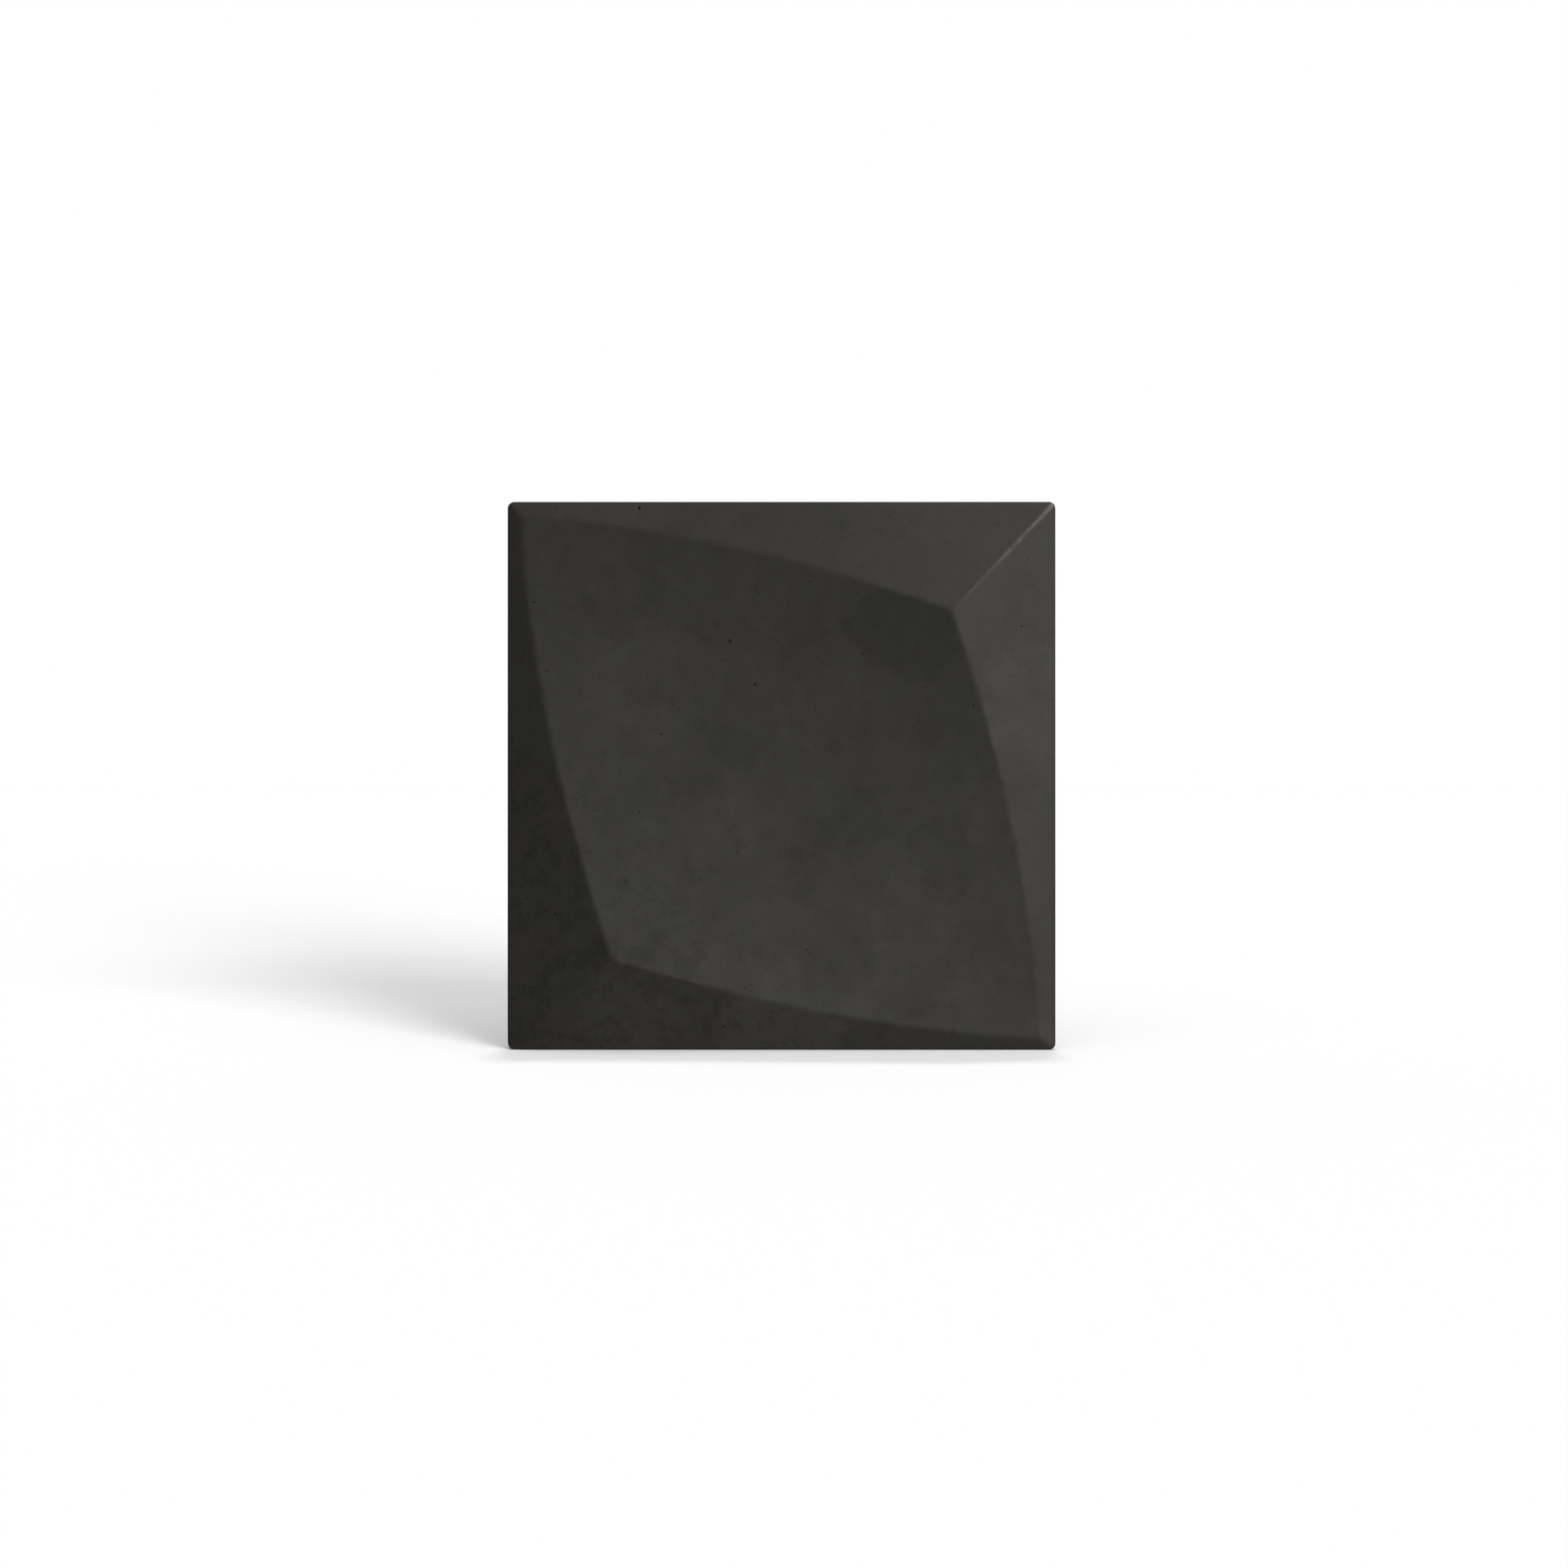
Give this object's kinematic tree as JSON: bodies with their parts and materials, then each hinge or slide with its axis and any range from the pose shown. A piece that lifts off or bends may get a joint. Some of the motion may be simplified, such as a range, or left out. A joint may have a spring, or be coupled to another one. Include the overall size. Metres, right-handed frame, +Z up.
{
  "type": "relief wall tile",
  "caption": "Square cast wall tile with sloping borders round a diagonal trough, a dyed face layer over a backing layer and a glass-fibre net in the back.",
  "frame": {"origin": "centre of the flat bottom edge face that the tile stands on", "axes": "+X to the right seen from the front, +Y from the relief towards the flat back, +Z up"},
  "size_m": [0.2, 0.0316, 0.2],
  "materials": {
    "face_mix": "fine cast face, dyed charcoal, satin to matt, with cloudy patches and a few pinholes",
    "backing_mix": "screeded coarse mix, matt grey with sand grains showing",
    "glass_fibre": "resin-bonded glass-fibre yarn, off-white"
  },
  "bodies": {
    "root": {"face_layer": "face_mix", "backing_layer": "backing_mix", "reinforcing_net": "glass_fibre"}
  },
  "joints": []
}
